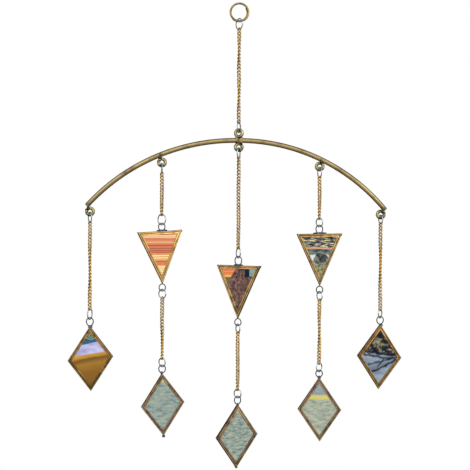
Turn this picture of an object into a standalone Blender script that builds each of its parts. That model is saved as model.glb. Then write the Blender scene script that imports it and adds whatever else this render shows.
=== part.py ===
"""Wall decoration: mirror diamonds and triangles hung on brass chains from a bent brass rod.

Metres, +Z up, the front faces -Y. The origin is the inner top of the hanging ring, where the nail or
hook bears. Everything hangs in the XZ plane under it.
"""
from math import cos, degrees, exp, pi, radians, sin, sqrt

import bmesh
import bpy
from mathutils import Matrix, Vector

MM = 0.001

# Clearance kept between pieces that touch in the real object. Rings that cross at a slant need more
GAP = 0.3 * MM
CROSSING_GAP = 0.5 * MM
LAP_CROSSING_GAP = 1.1 * MM

# Hanging ring: wire that runs round once and laps over itself at the lower right. Pitch is its step along Y
HANGING_RING_OUTER = 18.6 * MM
HANGING_RING_WIRE = 1.7 * MM
HANGING_RING_PITCH = 1.95 * MM
HANGING_RING_LAP_ANGLE = 150.0
HANGING_RING_START_ANGLE = -110.0

# Jump rings of steel wire, in two sizes
JUMP_RING_WIRE = 1.1 * MM
LARGE_JUMP_RING_OUTER = 11.2 * MM
SMALL_JUMP_RING_OUTER = 9.5 * MM

# Curb chain
LINK_PITCH = 3.08 * MM
LINK_WIRE = 0.95 * MM
LINK_HALF_WIDTH = 1.42 * MM
LINK_CROOK = 0.80 * MM

# Arched rod: a short straight middle and two bends of their own radius
ROD_DIAMETER = 4.75 * MM
ROD_MIDDLE_LENGTH = 3.6 * MM
ROD_MIDDLE_SHIFT = -1.2 * MM
ROD_LEFT_RADIUS = 189.6 * MM
ROD_LEFT_ANGLE = 47.9
ROD_RIGHT_RADIUS = 181.1 * MM
ROD_RIGHT_ANGLE = 50.3

# Thick wire eyes brazed to the rod. A seat is the distance from the rod's axis to the eye's centre
EYE_OUTER = 9.45 * MM
EYE_WIRE = 3.1 * MM
TOP_EYE_SEAT = 6.8 * MM
CENTRE_EYE_SEAT = 6.3 * MM
LEFT_EYE_SEAT = 7.3 * MM
LEFT_EYE_ANGLE = 22.5
RIGHT_EYE_SEAT = 6.6 * MM
RIGHT_EYE_ANGLE = 26.0
FAR_LEFT_EYE_SEAT = 5.9 * MM
FAR_LEFT_EYE_ANGLE = 48.5
FAR_RIGHT_EYE_SEAT = 6.0 * MM
FAR_RIGHT_EYE_ANGLE = 50.5

# Wire loops soldered to the frames, drawn out into a neck over this many degrees
LOOP_OUTER = 7.2 * MM
LOOP_WIRE = 1.05 * MM
LOOP_NECK_ANGLE = 55.0

# Brass channel of the frames, and the mirror glass that it grips
CHANNEL_FACE = 3.2 * MM
CHANNEL_WALL = 0.6 * MM
CHANNEL_EDGE = 0.5 * MM
MIRROR_THICKNESS = 3.0 * MM

# Number of flats that a round shape is made with
ROD_SIDES = 10
ROD_STEPS = 12
EYE_STEPS = 10
EYE_SIDES = 6
HANGING_RING_STEPS = 26
HANGING_RING_SIDES = 6
JUMP_RING_STEPS = 8
LOOP_STEPS = 9
WIRE_SIDES = 4
LINK_SIDES = 3

# Edges sharper than this many degrees stay sharp, and a face is level when its corners are within this
SHARP_EDGE_ANGLE = 50.0
LEVEL_WITHIN = 0.001 * MM

# Pendants. Reach is the distance from the centre of the loop to the frame, and tip_reach the same at
# a triangle's point. Lean is anticlockwise and yaw brings the left side forward, in degrees. Rise is
# how far the right corner sits above the left one, and loop_shift how far right of the middle the
# loop stands on the top edge.
PENDANTS = {
    "far_left_diamond": {
        "width": 42.9 * MM, "height": 61.6 * MM, "rise": 3.0 * MM,
        "reach": 4.9 * MM, "lean": 1.1, "yaw": 2.0,
    },
    "far_right_diamond": {
        "width": 42.9 * MM, "height": 61.6 * MM, "rise": -1.4 * MM,
        "reach": 4.6 * MM, "lean": -1.4, "yaw": 6.0,
    },
    "left_diamond": {
        "width": 41.4 * MM, "height": 59.5 * MM, "rise": 3.2 * MM,
        "reach": 4.6 * MM, "lean": 1.3, "yaw": 10.0,
    },
    "centre_diamond": {
        "width": 41.7 * MM, "height": 59.9 * MM, "rise": 3.0 * MM,
        "reach": 4.8 * MM, "lean": -1.6, "yaw": 20.0,
    },
    "right_diamond": {
        "width": 41.4 * MM, "height": 61.1 * MM, "rise": -1.0 * MM,
        "reach": 3.9 * MM, "lean": 0.6, "yaw": -3.0,
    },
    "left_triangle": {
        "width": 43.2 * MM, "height": 49.8 * MM, "loop_shift": 2.1 * MM, "reach": 4.4 * MM,
        "tip_reach": 4.0 * MM, "lean": 3.2, "yaw": 16.0,
    },
    "centre_triangle": {
        "width": 43.0 * MM, "height": 50.3 * MM, "loop_shift": -0.6 * MM, "reach": 5.5 * MM,
        "tip_reach": 4.0 * MM, "lean": -0.9, "yaw": -18.0,
    },
    "right_triangle": {
        "width": 43.5 * MM, "height": 49.7 * MM, "loop_shift": 0.1 * MM, "reach": 5.0 * MM,
        "tip_reach": 3.9 * MM, "lean": 0.7, "yaw": 3.0,
    },
}

# Chain runs: jump ring sizes, number of links, turn of the first and last link and of the two rings
RUNS = {
    "top": {"rings": ("large", "large"), "links": 29, "twist": (0, 370), "turns": (-55, 71)},
    "far_left": {"rings": ("large", "large"), "links": 27, "twist": (-5, 185), "turns": (-67, 71)},
    "far_right": {"rings": ("small", "small"), "links": 27, "twist": (-15, 185), "turns": (-75, 58)},
    "left_upper": {"rings": ("large", "large"), "links": 13, "twist": (-15, 75), "turns": (-85, -42)},
    "left_lower": {"rings": ("small", "small"), "links": 19, "twist": (-121, -300), "turns": (-36, -44)},
    "centre_upper": {"rings": ("large", "large"), "links": 28, "twist": (-55, 58), "turns": (73, -70)},
    "centre_lower": {"rings": ("small", "small"), "links": 18, "twist": (20, 45), "turns": (-65, -42)},
    "right_upper": {"rings": ("large", "small"), "links": 13, "twist": (-15, 75), "turns": (-75, -50)},
    "right_lower": {"rings": ("small", "small"), "links": 20, "twist": (0, 180), "turns": (-60, 47)},
}

JUMP_RING_OUTER = {"large": LARGE_JUMP_RING_OUTER, "small": SMALL_JUMP_RING_OUTER}


def clear_scene():
    """Remove every object that the file opens with."""
    for item in list(bpy.data.objects):
        bpy.data.objects.remove(item, do_unlink=True)


def make_material(name, colour, metallic, roughness):
    """A Principled material of one plain finish."""
    material = bpy.data.materials.new(name)
    material.use_nodes = True
    shader = material.node_tree.nodes["Principled BSDF"]
    shader.inputs["Base Color"].default_value = (*colour, 1.0)
    shader.inputs["Metallic"].default_value = metallic
    shader.inputs["Roughness"].default_value = roughness
    material.diffuse_color = (*colour, 1.0)
    return material


def round_section(diameter, sides):
    """Offsets (inward, across) of a polygon with a round wire's area and a flat on its inner side."""
    radius = 0.5 * diameter * sqrt(2.0 * pi / (sides * sin(2.0 * pi / sides)))
    angles = [2.0 * pi * (step + 0.5) / sides for step in range(sides)]
    return [(radius * cos(angle), radius * sin(angle)) for angle in angles]


def channel_section():
    """Offsets (inward, across) of the frame's channel, open on its inner side."""
    half_depth = 0.5 * MIRROR_THICKNESS + GAP + CHANNEL_WALL
    half_groove = half_depth - CHANNEL_WALL
    front = [
        (0.0, -half_depth + CHANNEL_EDGE),
        (CHANNEL_EDGE, -half_depth),
        (CHANNEL_FACE, -half_depth),
        (CHANNEL_FACE, -half_groove),
        (CHANNEL_WALL, -half_groove),
    ]
    return front + [(inward, -across) for inward, across in reversed(front)]


def sweep_stations(path, section, closed, lift=None):
    """Rings of points that carry a section along a path in the XZ plane, mitred at its corners.

    Inward is to the left of the path, so a closed path runs anticlockwise seen from the front.
    lift, if given, moves each station along Y.
    """
    count = len(path)
    stations = []
    for index, (x, z) in enumerate(path):
        before = path[index - 1] if closed or index else None
        after = path[(index + 1) % count] if closed or index < count - 1 else None
        arrive = Vector((x - before[0], z - before[1])).normalized() if before else None
        leave = Vector((after[0] - x, after[1] - z)).normalized() if after else None
        arrive = arrive or leave
        leave = leave or arrive
        along = (arrive + leave).normalized()
        inward = Vector((-along.y, along.x)) / along.dot(leave)
        depth = lift[index] if lift else 0.0
        stations.append([Vector((x + u * inward.x, depth + v, z + u * inward.y)) for u, v in section])
    return stations


def skin_stations(mesh, stations, closed):
    """Join rings of points with quads, and close the two ends of an open run."""
    rings = [[mesh.verts.new(point) for point in station] for station in stations]
    size = len(rings[0])
    pairs = list(zip(rings, rings[1:]))
    if closed:
        pairs.append((rings[-1], rings[0]))
    quads = []
    for first, second in pairs:
        for side in range(size):
            after = (side + 1) % size
            quads.append(mesh.faces.new((first[side], first[after], second[after], second[side])))
    if not closed:
        mesh.faces.new(rings[0])
        mesh.faces.new(rings[-1])
    return quads


def add_object(name, mesh, material, smooth=True):
    """Turn a bmesh into a named object with its faces pointing out."""
    bmesh.ops.recalc_face_normals(mesh, faces=mesh.faces)
    data = bpy.data.meshes.new(name)
    mesh.to_mesh(data)
    mesh.free()
    data.materials.append(material)
    if smooth:
        data.shade_smooth()
        data.set_sharp_from_angle(angle=radians(SHARP_EDGE_ANGLE))
    item = bpy.data.objects.new(name, data)
    bpy.context.scene.collection.objects.link(item)
    return item


def add_swept(name, path, section, closed, material, lift=None):
    """An object made by carrying a section along a path."""
    mesh = bmesh.new()
    skin_stations(mesh, sweep_stations(path, section, closed, lift), closed)
    return add_object(name, mesh, material)


def place(item, x, z, lean=0.0, yaw=0.0):
    """Put an object at (x, z) in the hanging plane, leaning anticlockwise and then turned about Z."""
    item.location = (x, 0.0, z)
    item.rotation_euler = (0.0, radians(-lean), radians(yaw))


def circle_path(radius, steps):
    """Anticlockwise polygon with a circle's area and a flat at its top and bottom."""
    reach = radius * sqrt(2.0 * pi / (steps * sin(2.0 * pi / steps)))
    angles = [2.0 * pi * (step + 0.5) / steps - 0.5 * pi for step in range(steps)]
    return [(reach * cos(angle), reach * sin(angle)) for angle in angles]


def loop_path(reach):
    """Anticlockwise loop round its centre, drawn down into a neck that ends just short of the frame."""
    radius = 0.5 * (LOOP_OUTER - LOOP_WIRE)
    neck = max(reach - 0.5 * LOOP_WIRE - GAP, radius)
    points = []
    for step in range(LOOP_STEPS):
        turn = 2.0 * pi * step / LOOP_STEPS
        off_neck = min(turn, 2.0 * pi - turn) / radians(LOOP_NECK_ANGLE)
        distance = radius + (neck - radius) * exp(-off_neck * off_neck)
        points.append((distance * sin(turn), -distance * cos(turn)))
    return points


def rod_arc_point(side, angle, inset):
    """Point of the rod's left or right bend, at an angle from its top and inset towards its centre."""
    radius = ROD_LEFT_RADIUS if side == "left" else ROD_RIGHT_RADIUS
    sign = -1.0 if side == "left" else 1.0
    start = ROD_MIDDLE_SHIFT + sign * 0.5 * ROD_MIDDLE_LENGTH
    distance = radius - inset
    return start + sign * distance * sin(radians(angle)), distance * cos(radians(angle)) - radius


def rod_path(extra):
    """The rod's axis from right to left, in metres from its top, longer by extra at each end."""
    left_end = ROD_LEFT_ANGLE + degrees(extra / ROD_LEFT_RADIUS)
    right_end = ROD_RIGHT_ANGLE + degrees(extra / ROD_RIGHT_RADIUS)
    right = [rod_arc_point("right", right_end * step / ROD_STEPS, 0.0) for step in range(ROD_STEPS, -1, -1)]
    left = [rod_arc_point("left", left_end * step / ROD_STEPS, 0.0) for step in range(ROD_STEPS + 1)]
    return right + left


def add_cutter(name, path, section, closed, material):
    """A swept shape that only cuts or joins another object."""
    cutter = add_swept(name, path, section, closed, material)
    cutter.hide_render = True
    cutter.display_type = "WIRE"
    return cutter


def combine(item, other, operation):
    """Boolean one object with another."""
    modifier = item.modifiers.new(operation.lower(), "BOOLEAN")
    modifier.operation = operation
    modifier.solver = "EXACT"
    modifier.object = other


def build_hanging_ring(material):
    """The split ring, standing round the nail, with its lapped ends side by side along Y."""
    radius = 0.5 * (HANGING_RING_OUTER - HANGING_RING_WIRE)
    turn = 360.0 + HANGING_RING_LAP_ANGLE
    steps = HANGING_RING_STEPS
    angles = [HANGING_RING_START_ANGLE + turn * step / steps for step in range(steps + 1)]
    path = [(radius * cos(radians(angle)), radius * sin(radians(angle))) for angle in angles]
    lift = [HANGING_RING_PITCH * (turn * step / steps - 0.5 * turn) / 360.0 for step in range(steps + 1)]
    section = round_section(HANGING_RING_WIRE, HANGING_RING_SIDES)
    ring = add_swept("hanging_ring", path, section, False, material, lift)
    inner_radius = radius - 0.5 * HANGING_RING_WIRE
    place(ring, 0.0, -inner_radius)
    return -2.0 * inner_radius


def build_jump_ring(name, size, x, top, turn, material):
    """A jump ring under the height of its inner top. Returns the height of its inner bottom."""
    outer = JUMP_RING_OUTER[size]
    inner = outer - 2.0 * JUMP_RING_WIRE
    path = circle_path(0.5 * (outer - JUMP_RING_WIRE), JUMP_RING_STEPS)
    ring = add_swept(name, path, round_section(JUMP_RING_WIRE, WIRE_SIDES), True, material)
    place(ring, x, top - 0.5 * inner, 0.0, turn)
    return top - inner


def link_stations(turn, height):
    """Four corners of one crooked link, each with its section, turned about Z and set at a height."""
    half_length = 0.5 * (LINK_PITCH + LINK_WIRE)
    spin = Matrix.Rotation(radians(turn), 3, "Z")
    section = round_section(LINK_WIRE, LINK_SIDES)
    corners = [(1, 1), (-1, 1), (-1, -1), (1, -1)]
    stations = []
    for right, top in corners:
        centre = Vector((right * LINK_HALF_WIDTH, right * top * LINK_CROOK, top * half_length))
        inward = Vector((-right, 0.0, -top))
        end_wire = Vector((LINK_HALF_WIDTH, top * LINK_CROOK, 0.0)).normalized()
        across = Vector((0.0, 0.0, 1.0)).cross(end_wire)
        ring = [centre + u * inward + v * across for u, v in section]
        stations.append([spin @ point + Vector((0.0, 0.0, height)) for point in ring])
    return stations


def join_faces(mesh, first, second):
    """Replace two facing quads by the short bar between them, with its corners paired by nearness."""
    ring = list(first.verts)
    other = list(second.verts)
    choices = []
    for order in (other, other[::-1]):
        for shift in range(4):
            turned = order[shift:] + order[:shift]
            choices.append((sum((a.co - b.co).length for a, b in zip(ring, turned)), len(choices), turned))
    partner = min(choices)[2]
    mesh.faces.remove(first)
    mesh.faces.remove(second)
    for corner in range(4):
        after = (corner + 1) % 4
        mesh.faces.new((ring[corner], ring[after], partner[after], partner[corner]))


def facing_quad(quads, up):
    """The quad of a link whose middle is innermost at its top (up) or bottom end."""
    middle = sum((quad.calc_center_median().z for quad in quads)) / len(quads)
    ends = [quad for quad in quads if (quad.calc_center_median().z > middle) == up]
    flat = []
    for quad in ends:
        heights = [corner.co.z for corner in quad.verts]
        if max(heights) - min(heights) < LEVEL_WITHIN:
            flat.append(quad)
    return min(flat, key=lambda quad: abs(quad.calc_center_median().z - middle))


def build_chain(name, run, x, top, material):
    """A chain under the height of its first link's inner top. Returns its last link's inner bottom."""
    mesh = bmesh.new()
    first_turn, last_turn = run["twist"]
    count = run["links"]
    previous = None
    for index in range(count):
        turn = first_turn + (last_turn - first_turn) * index / (count - 1)
        height = top - LINK_PITCH * (index + 0.5)
        quads = skin_stations(mesh, link_stations(turn, height), True)
        if previous:
            join_faces(mesh, facing_quad(previous, False), facing_quad(quads, True))
            quads = [quad for quad in quads if quad.is_valid]
        previous = quads
    chain = add_object(name, mesh, material, smooth=False)
    place(chain, x, 0.0)
    return top - LINK_PITCH * count


def build_run(name, x, bearing, materials, crossing_gap=CROSSING_GAP):
    """Jump ring, chain and jump ring, hung on a bearing height. Returns the next bearing height."""
    run = RUNS[name]
    upper_size, lower_size = run["rings"]
    upper_turn, lower_turn = run["turns"]
    steel = materials["jump_ring_steel"]
    top = bearing + crossing_gap
    bearing = build_jump_ring(name + "_chain_top_ring", upper_size, x, top, upper_turn, steel)
    bearing = build_chain(name + "_chain", run, x, bearing + GAP, materials["chain_brass"])
    return build_jump_ring(name + "_chain_bottom_ring", lower_size, x, bearing + GAP, lower_turn, steel)


def build_rod(top, materials):
    """The rod with its two middle eyes, and the cutter that gives the other eyes their seats."""
    brass = materials["rod_brass"]
    rod = add_swept("arched_rod", rod_path(0.0), round_section(ROD_DIAMETER, ROD_SIDES), False, brass)
    place(rod, 0.0, top)
    ring = circle_path(0.5 * (EYE_OUTER - EYE_WIRE), EYE_STEPS)
    for name, height in (("top_eye_blank", TOP_EYE_SEAT), ("centre_eye_blank", -CENTRE_EYE_SEAT)):
        blank = add_cutter(name, ring, round_section(EYE_WIRE, EYE_SIDES), True, brass)
        place(blank, 0.0, top + height)
        combine(rod, blank, "UNION")
    section = round_section(ROD_DIAMETER + 2.0 * GAP, ROD_SIDES)
    seat = add_cutter("rod_seat_cutter", rod_path(GAP), section, False, brass)
    place(seat, 0.0, top)
    return seat


def build_eye(name, side, angle, inset, top, seat, material):
    """A thick wire eye under the rod, coped where it meets it, and its hole's centre."""
    ring = circle_path(0.5 * (EYE_OUTER - EYE_WIRE), EYE_STEPS)
    eye = add_swept(name, ring, round_section(EYE_WIRE, EYE_SIDES), True, material)
    x, z = rod_arc_point(side, angle, inset)
    place(eye, x, top + z)
    combine(eye, seat, "DIFFERENCE")
    return x, top + z - 0.5 * EYE_OUTER + EYE_WIRE


def diamond_outline(pendant):
    """Anticlockwise outline (x, z) of a diamond under its top corner."""
    half_width = 0.5 * pendant["width"]
    half_height = 0.5 * pendant["height"]
    half_rise = 0.5 * pendant["rise"]
    return [
        (0.0, 0.0),
        (-half_width, -half_height - half_rise),
        (0.0, -pendant["height"]),
        (half_width, -half_height + half_rise),
    ]


def triangle_outline(pendant):
    """Anticlockwise outline (x, z) of a triangle that points down, under the loop on its top edge."""
    left = -0.5 * pendant["width"] - pendant["loop_shift"]
    right = 0.5 * pendant["width"] - pendant["loop_shift"]
    return [(left, 0.0), (-pendant["loop_shift"], -pendant["height"]), (right, 0.0)]


def build_pane(name, outline, material):
    """The mirror glass, cut smaller than the frame all round so that it sits in the channel."""
    inset = CHANNEL_WALL + GAP
    back = sweep_stations(outline, [(inset, 0.5 * MIRROR_THICKNESS)], True)
    mesh = bmesh.new()
    face = mesh.faces.new([mesh.verts.new(station[0]) for station in back])
    front = bmesh.ops.extrude_face_region(mesh, geom=[face])["geom"]
    moved = [part for part in front if isinstance(part, bmesh.types.BMVert)]
    bmesh.ops.translate(mesh, verts=moved, vec=(0.0, -MIRROR_THICKNESS, 0.0))
    return add_object(name, mesh, material, smooth=False)


def build_pendant(name, x, bearing, materials):
    """Loop, channel frame and mirror, hung on a bearing height.

    A triangle has a second loop under its point. Returns where the next run hangs: x and height.
    """
    pendant = PENDANTS[name]
    is_triangle = "loop_shift" in pendant
    lean, yaw, reach = pendant["lean"], pendant["yaw"], pendant["reach"]
    outline = triangle_outline(pendant) if is_triangle else diamond_outline(pendant)
    frame_brass = materials["triangle_brass" if is_triangle else "diamond_brass"]
    wire = round_section(LOOP_WIRE, WIRE_SIDES)
    inner_radius = 0.5 * LOOP_OUTER - LOOP_WIRE

    loop_height = bearing + CROSSING_GAP - inner_radius
    loop = add_swept(name + "_top_loop", loop_path(reach), wire, True, materials["loop_wire"])
    place(loop, x, loop_height, 0.0, yaw)
    frame = add_swept(name + "_frame", outline, channel_section(), True, frame_brass)
    place(frame, x, loop_height - reach, lean, yaw)
    pane = build_pane(name + "_mirror", outline, materials["mirror"])
    place(pane, x, loop_height - reach, lean, yaw)
    if not is_triangle:
        return x, None

    tip = Matrix.Rotation(radians(lean), 2) @ Vector(outline[1])
    tip_x = x + tip.x * cos(radians(yaw))
    low_loop_height = loop_height - reach + tip.y - pendant["tip_reach"]
    low_path = loop_path(pendant["tip_reach"])
    low_loop = add_swept(name + "_bottom_loop", low_path, wire, True, materials["loop_wire"])
    place(low_loop, tip_x, low_loop_height, 180.0, yaw)
    return tip_x, low_loop_height - inner_radius


def main():
    clear_scene()
    materials = {
        "ring_brass": make_material("ring_brass", (0.52, 0.36, 0.14), 1.0, 0.35),
        "jump_ring_steel": make_material("jump_ring_steel", (0.62, 0.65, 0.63), 1.0, 0.25),
        "chain_brass": make_material("chain_brass", (0.78, 0.58, 0.30), 1.0, 0.30),
        "rod_brass": make_material("rod_brass", (0.36, 0.27, 0.13), 1.0, 0.45),
        "loop_wire": make_material("loop_wire", (0.30, 0.29, 0.25), 1.0, 0.40),
        "triangle_brass": make_material("triangle_brass", (0.60, 0.40, 0.15), 1.0, 0.35),
        "diamond_brass": make_material("diamond_brass", (0.38, 0.24, 0.12), 1.0, 0.40),
        "mirror": make_material("mirror", (0.85, 0.87, 0.87), 1.0, 0.03),
    }
    bearing = build_hanging_ring(materials["ring_brass"])
    bearing = build_run("top", 0.0, bearing, materials, LAP_CROSSING_GAP)
    hole_radius = 0.5 * EYE_OUTER - EYE_WIRE
    rod_top = bearing + CROSSING_GAP - hole_radius - TOP_EYE_SEAT
    seat = build_rod(rod_top, materials)

    eyes = {
        "far_left": ("left", FAR_LEFT_EYE_ANGLE, FAR_LEFT_EYE_SEAT),
        "left": ("left", LEFT_EYE_ANGLE, LEFT_EYE_SEAT),
        "right": ("right", RIGHT_EYE_ANGLE, RIGHT_EYE_SEAT),
        "far_right": ("right", FAR_RIGHT_EYE_ANGLE, FAR_RIGHT_EYE_SEAT),
    }
    hangers = {"centre": (0.0, rod_top - CENTRE_EYE_SEAT - hole_radius)}
    for name, (side, angle, inset) in eyes.items():
        hangers[name] = build_eye(name + "_eye", side, angle, inset, rod_top, seat, materials["rod_brass"])

    for name in ("far_left", "far_right"):
        x, bearing = hangers[name]
        bearing = build_run(name, x, bearing, materials)
        build_pendant(name + "_diamond", x, bearing, materials)
    for name in ("left", "centre", "right"):
        x, bearing = hangers[name]
        bearing = build_run(name + "_upper", x, bearing, materials)
        x, bearing = build_pendant(name + "_triangle", x, bearing, materials)
        bearing = build_run(name + "_lower", x, bearing, materials)
        build_pendant(name + "_diamond", x, bearing, materials)


main()
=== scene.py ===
import math

import bmesh
import bpy
import numpy as np
from mathutils import Matrix, Vector


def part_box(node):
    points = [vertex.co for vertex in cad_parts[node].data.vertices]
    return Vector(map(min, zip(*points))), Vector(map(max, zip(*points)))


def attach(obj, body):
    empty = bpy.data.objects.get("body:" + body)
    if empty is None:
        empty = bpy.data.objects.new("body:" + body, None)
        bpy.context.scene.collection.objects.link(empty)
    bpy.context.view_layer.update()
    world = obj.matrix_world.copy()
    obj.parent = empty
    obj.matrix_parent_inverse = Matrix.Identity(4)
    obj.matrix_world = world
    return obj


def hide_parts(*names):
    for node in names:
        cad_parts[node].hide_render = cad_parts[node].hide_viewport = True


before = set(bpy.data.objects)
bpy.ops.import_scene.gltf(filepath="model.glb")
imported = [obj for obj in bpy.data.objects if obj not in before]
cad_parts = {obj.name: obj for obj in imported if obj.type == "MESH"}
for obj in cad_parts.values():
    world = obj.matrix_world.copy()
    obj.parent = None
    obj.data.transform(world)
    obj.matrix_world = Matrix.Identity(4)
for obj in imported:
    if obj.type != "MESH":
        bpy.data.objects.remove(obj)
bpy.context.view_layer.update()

mm = 0.001

# Sizes in millimetres and angles in degrees. Most are the solids' own, but the hanging ring's and
# the links' wire is fuller here
gaps = {"touching": 0.3, "crossing": 0.5}


def srgb(red, green, blue):
    # A colour as a paint chart gives it, 0 to 255, turned into the linear value that a shader takes
    parts = np.array([red, green, blue]) / 255
    linear = np.where(parts < 0.04045, parts / 12.92, ((parts + 0.055) / 1.055) ** 2.4)
    return (*linear.tolist(), 1.0)


def middle(node):
    # Centre of a node's box, in millimetres
    low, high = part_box(node)
    return (low + high) / 2 / mm


def wave(count, seed):
    # Uneven numbers between -1 and 1: the sine of each place times a large step, plus the seed
    return np.sin(np.arange(count) * 12.9898 + seed * 78.233)


print("mesh helpers")


def roundSection(diameter, sides):
    # Points on a circle: (inward, across) = radius times the cosine and sine of equal steps
    turn = 2 * math.pi * np.arange(sides) / sides
    return 0.5 * diameter * np.stack([np.cos(turn), np.sin(turn)], 1)


def carry(path, section, closed, swell=None):
    # Every point of the path gets the whole section: path + inward * left of travel + across * depth,
    # where left is travel crossed with Y and depth is square to both. Swell scales the section
    ahead = np.roll(path, -1, 0) - np.roll(path, 1, 0) if closed else np.gradient(path, axis=0)
    ahead = ahead / np.linalg.norm(ahead, axis=1, keepdims=True)
    left = np.cross(ahead, (0.0, 1.0, 0.0))
    left = left / np.linalg.norm(left, axis=1, keepdims=True)
    depth = np.cross(left, ahead)
    swell = np.ones(len(path)) if swell is None else swell
    grown = section[None, :, :] * swell[:, None, None]
    return path[:, None] + grown[:, :, :1] * left[:, None] + grown[:, :, 1:] * depth[:, None]


def gridFaces(rows, columns, closedRows, closedColumns):
    # Corner numbers of the quads between each row of points and the next, and round each row
    row, column = np.meshgrid(
        np.arange(rows if closedRows else rows - 1),
        np.arange(columns if closedColumns else columns - 1),
        indexing="ij",
    )
    nextRow, nextColumn = (row + 1) % rows, (column + 1) % columns
    corners = [row * columns + column, row * columns + nextColumn]
    corners += [nextRow * columns + nextColumn, nextRow * columns + column]
    return np.stack(corners, -1).reshape(-1, 4)


def tube(path, section, closed, swell=None):
    # A skin round a carried section, with a flat face over each end of an open path. A shape is its
    # points, its faces and how much painted shade each point takes: here the section's inward part, 0 to
    # 1, so the inner side of every wire is painted darker, as if in shade
    points = carry(path, section, closed, swell)
    rows, columns = points.shape[:2]
    faces = gridFaces(rows, columns, closed, True).tolist()
    if not closed:
        faces.append(list(range(columns)))
        faces.append(list(range((rows - 1) * columns, rows * columns)))
    hollow = np.clip(section[:, 0] / section[:, 0].max(), 0, 1)
    return points.reshape(-1, 3), faces, np.tile(hollow, rows)


def lump(centre, radii, rough, seed, steps=20, rounds=12):
    # A squashed ball: radii times a sphere's cosines and sines, each point pushed by two slow waves
    tall = np.linspace(0, math.pi, rounds + 1)[1:-1, None]
    turn = np.linspace(0, 2 * math.pi, steps, endpoint=False)[None, :]
    broad = np.sin(3 * turn + seed) * np.sin(2 * tall + seed)
    fine = np.sin(5 * turn - 2 * seed + 4 * tall)
    push = 1 + rough * (broad + 0.6 * fine)
    level = np.sin(tall) * push
    shape = [level * np.cos(turn), level * np.sin(turn), np.cos(tall) * push]
    points = np.stack(shape, -1).reshape(-1, 3)
    points = np.vstack([points, [[0, 0, 1]], [[0, 0, -1]]]) * np.array(radii) + np.array(centre)
    faces = gridFaces(rounds - 1, steps, False, True).tolist()
    top, bottom, last = len(points) - 2, len(points) - 1, (rounds - 2) * steps
    faces += [[top, step, (step + 1) % steps] for step in range(steps)]
    faces += [[bottom, last + (step + 1) % steps, last + step] for step in range(steps)]
    return points, faces, np.zeros(len(points))


def joined(shells):
    # One shape from several, each later shell's corner numbers moved up by the points before it
    faces, count = [], 0
    for points, shellFaces, _ in shells:
        faces += [[corner + count for corner in face] for face in shellFaces]
        count += len(points)
    points, _, hollow = zip(*shells)
    return np.vstack(points), faces, np.concatenate(hollow)


def turned(shape, lean, yaw, x, z):
    # Leans anticlockwise in the hanging plane, then turns about the upright, then moves to x and z
    spin = Matrix.Rotation(math.radians(yaw), 3, "Z") @ Matrix.Rotation(math.radians(-lean), 3, "Y")
    return shape[0] @ np.array(spin).T + np.array([x, 0.0, z]), *shape[1:]


def addObject(name, data):
    made = bpy.data.objects.new(name, data)
    bpy.context.scene.collection.objects.link(made)
    return made


def addPiece(name, shape, materials, nodes=(), smooth=True, sharp=40, faceMaterials=None):
    # Puts a shape in millimetres into a mesh that rides on the body and stands for its CAD nodes
    points, faces, hollow = shape
    mesh = bpy.data.meshes.new(name)
    mesh.from_pydata((points * mm).tolist(), [], faces)
    mesh.attributes.new("hollow", "FLOAT", "POINT").data.foreach_set("value", hollow)
    for material in materials:
        mesh.materials.append(material)
    if faceMaterials is not None:
        mesh.polygons.foreach_set("material_index", faceMaterials)
    work = bmesh.new()
    work.from_mesh(mesh)
    bmesh.ops.recalc_face_normals(work, faces=work.faces)
    work.to_mesh(mesh)
    work.free()
    if smooth:
        mesh.shade_smooth()
        mesh.set_sharp_from_angle(angle=math.radians(sharp))
    piece = addObject(name, mesh)
    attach(piece, "root")
    if nodes:
        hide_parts(*nodes)
    return piece


def camel(words):
    first, *rest = words.split("_")
    return first + "".join(word.capitalize() for word in rest)


print("materials")


def setSockets(node, values):
    # Links the values that are sockets and sets those that are numbers or colours
    for socket, value in values.items():
        if isinstance(value, bpy.types.NodeSocket):
            node.id_data.links.new(value, node.inputs[socket])
        else:
            node.inputs[socket].default_value = value


def addNode(tree, kind, values=None, **settings):
    made = tree.nodes.new(kind)
    for name, value in settings.items():
        setattr(made, name, value)
    setSockets(made, values or {})
    return made


def treeOf(*values):
    # The node tree that the first socket among the values stands in
    return next(value.id_data for value in values if isinstance(value, bpy.types.NodeSocket))


def maths(operation, first, second=0.0):
    tree = treeOf(first, second)
    return addNode(tree, "ShaderNodeMath", {0: first, 1: second}, operation=operation).outputs[0]


def plus(first, second):
    return maths("ADD", first, second)


def minus(first, second):
    return maths("SUBTRACT", first, second)


def times(first, second):
    return maths("MULTIPLY", first, second)


def colourRamp(value, stops, paint=srgb):
    # The colour at a value between stops, each a position and a colour, a paint chart's unless told
    ramp = addNode(treeOf(value), "ShaderNodeValToRGB", {"Fac": value})
    elements = ramp.color_ramp.elements
    while len(elements) < len(stops):
        elements.new(0.5)
    for element, (position, colour) in zip(elements, stops):
        element.position = position
        element.color = paint(*colour)
    return ramp.outputs["Color"]


def blend(mask, under, over):
    # The second colour over the first by the mask. One given in numbers is a paint chart's
    under, over = (srgb(*value) if isinstance(value, tuple) else value for value in (under, over))
    mix = addNode(treeOf(mask, under, over), "ShaderNodeMix", data_type="RGBA")
    setSockets(mix, {0: mask, 6: under, 7: over})
    return mix.outputs[2]


def rescale(value, fromLow, fromHigh, toLow=0.0, toHigh=1.0):
    # The value moved in proportion from one range to the other, and held within it
    sockets = {"Value": value, "From Min": fromLow, "From Max": fromHigh}
    sockets.update({"To Min": toLow, "To Max": toHigh})
    return addNode(treeOf(value), "ShaderNodeMapRange", sockets).outputs["Result"]


def noise(vector, scale, detail=3.0, roughness=0.55):
    sockets = {"Vector": vector, "Scale": scale, "Detail": detail, "Roughness": roughness}
    return addNode(treeOf(vector), "ShaderNodeTexNoise", sockets).outputs["Fac"]


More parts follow.
